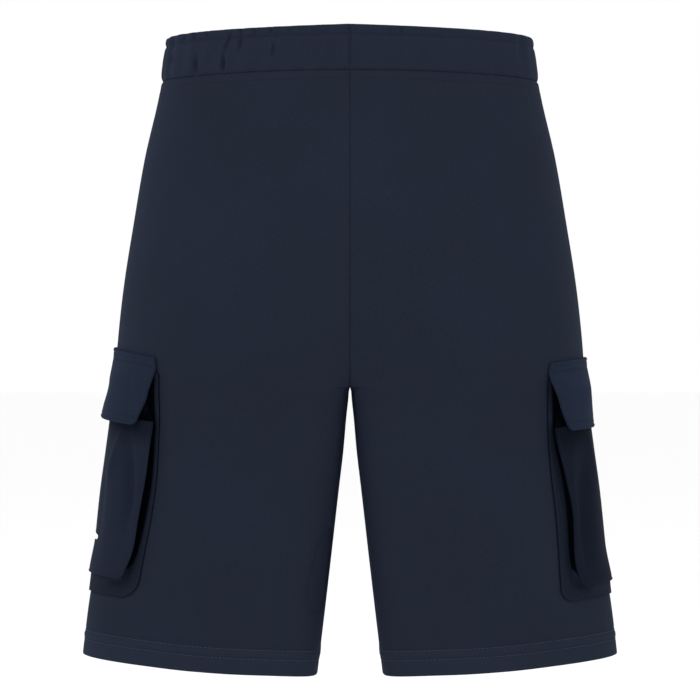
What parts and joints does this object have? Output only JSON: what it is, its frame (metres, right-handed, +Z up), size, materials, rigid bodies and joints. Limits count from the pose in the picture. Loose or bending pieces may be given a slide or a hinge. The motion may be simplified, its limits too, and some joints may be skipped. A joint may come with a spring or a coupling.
{
  "type": "jogging shorts",
  "caption": "Knee-length jogging shorts with a gathered elastic waistband and a bellows pocket with a flap on each side, hollow as when worn.",
  "frame": {"origin": "centre of the waistband, where the wearer's waist holds the shorts", "axes": "+Z up towards the waistband's rim, +Y towards the wearer's front, +X towards the wearer's right"},
  "size_m": [0.4274, 0.2647, 0.5103],
  "materials": {
    "body_jersey": "navy sweatshirt jersey, matt",
    "band_jersey": "navy jersey gathered over elastic, matt",
    "pocket_jersey": "navy sweatshirt jersey, matt"
  },
  "bodies": {
    "root": {"waistband": "band_jersey", "back_left": "body_jersey", "back_right": "body_jersey", "front_left": "body_jersey", "front_right": "body_jersey", "pocket_panel_left": "pocket_jersey", "pocket_panel_right": "pocket_jersey", "pocket_gusset_left": "pocket_jersey", "pocket_gusset_right": "pocket_jersey", "pocket_flap_left": "pocket_jersey", "pocket_flap_right": "pocket_jersey"}
  },
  "joints": []
}
